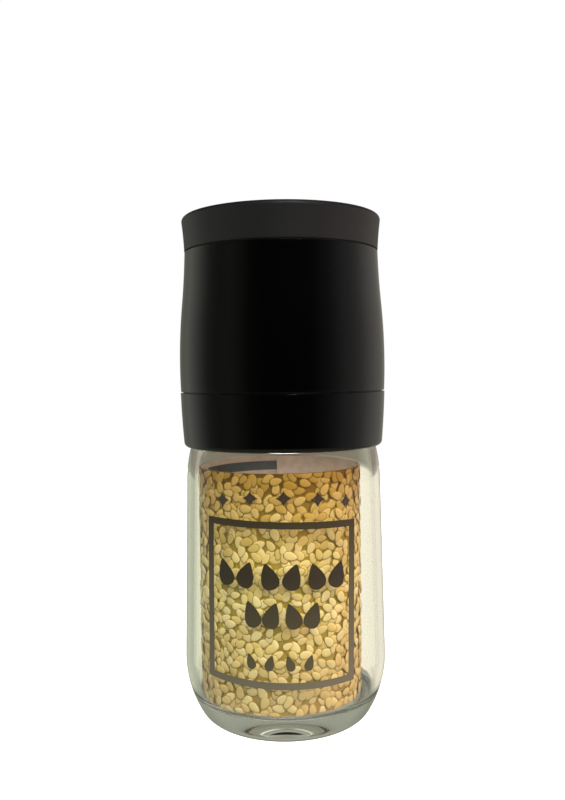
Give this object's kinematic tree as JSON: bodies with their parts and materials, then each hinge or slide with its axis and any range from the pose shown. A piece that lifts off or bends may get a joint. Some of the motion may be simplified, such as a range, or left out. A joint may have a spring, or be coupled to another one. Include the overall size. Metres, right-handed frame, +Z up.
{
  "type": "sesame mill",
  "caption": "Twist-action sesame mill: a round glass jar with a printed liner under a waisted black grinding head, with a flared lift-off cap.",
  "frame": {"origin": "centre of the jar's foot, on the surface that it stands on", "axes": "+Z up along the mill's axis, -Y out of the printed front"},
  "size_m": [0.0576, 0.0576, 0.1403],
  "materials": {
    "jar_glass": "clear pressed soda-lime glass, faintly green, smooth fire-polished surface",
    "printed_card": "thin coated card printed with sesame seed, plain grey-brown on its inner side",
    "silicone": "moulded silicone, satin",
    "black_abs_gloss": "moulded black ABS, semi-gloss",
    "black_abs_satin": "moulded black ABS, satin",
    "black_abs_matt": "moulded dark grey-black ABS, fine matt texture",
    "grey_nylon": "moulded glass-filled nylon, matt",
    "acetal": "moulded natural acetal, satin",
    "black_acetal": "moulded black acetal, satin",
    "clear_polypropylene": "moulded natural polypropylene, milky",
    "white_ceramic": "sintered alumina, fine matt",
    "spring_steel": "drawn stainless spring steel",
    "bright_steel": "turned and milled stainless steel",
    "zinc_steel": "zinc-plated steel",
    "brass": "turned brass"
  },
  "bodies": {
    "jar": {"glass_jar": "jar_glass", "printed_insert": "printed_card"},
    "jar_seal": {"jar_gasket": "silicone"},
    "collar": {"collar": "black_abs_gloss", "slip_ring": "black_acetal", "sleeve_clip": "spring_steel", "shaft_bridge": "grey_nylon", "bridge_screws": "zinc_steel", "drive_shaft": "bright_steel", "shaft_clip": "spring_steel", "spring_seat": "bright_steel", "burr_spring": "spring_steel"},
    "mill_head": {"barrel_shell": "black_abs_gloss", "head_core": "grey_nylon", "outer_burr": "white_ceramic", "burr_ring": "grey_nylon", "burr_screws": "zinc_steel", "spout": "black_abs_satin"},
    "grinder": {"inner_burr": "white_ceramic", "burr_hub": "acetal", "thrust_washer": "bright_steel"},
    "dial": {"adjusting_dial": "black_abs_satin", "dial_insert": "brass"},
    "cap": {"cap_shell": "black_abs_matt", "cap_liner": "clear_polypropylene", "cap_seal": "silicone"}
  },
  "joints": [
    {"name": "collar_rise", "type": "slide", "parent": "jar", "child": "jar_seal", "axis": [0, 0, 1], "range_m": [0, 0.008]},
    {"name": "collar_unscrew", "type": "hinge", "parent": "jar_seal", "child": "collar", "pos_m": [0, 0, 0.0906], "axis": [0, 0, 1], "range_deg": [0, 720]},
    {"name": "head_turn", "type": "hinge", "parent": "collar", "child": "mill_head", "pos_m": [0, 0, 0.1106], "axis": [0, 0, 1], "continuous": true},
    {"name": "cap_lift", "type": "slide", "parent": "mill_head", "child": "cap", "axis": [0, 0, 1], "range_m": [0, 0.03]},
    {"name": "burr_feed", "type": "slide", "parent": "collar", "child": "grinder", "axis": [0, 0, 1], "range_m": [-0.001, 0], "stiffness_N_per_m": 600, "springref_m": 0.003, "deforming": ["burr_spring"]},
    {"name": "dial_turn", "type": "hinge", "parent": "grinder", "child": "dial", "pos_m": [0, 0, 0.1246], "axis": [0, 0, 1], "range_deg": [-360, 0]}
  ],
  "couplings": [
    {"joint": "collar_unscrew", "follows": "collar_rise", "rad_per_m": 1570.8},
    {"joint": "dial_turn", "follows": "burr_feed", "rad_per_m": 6283.2}
  ]
}
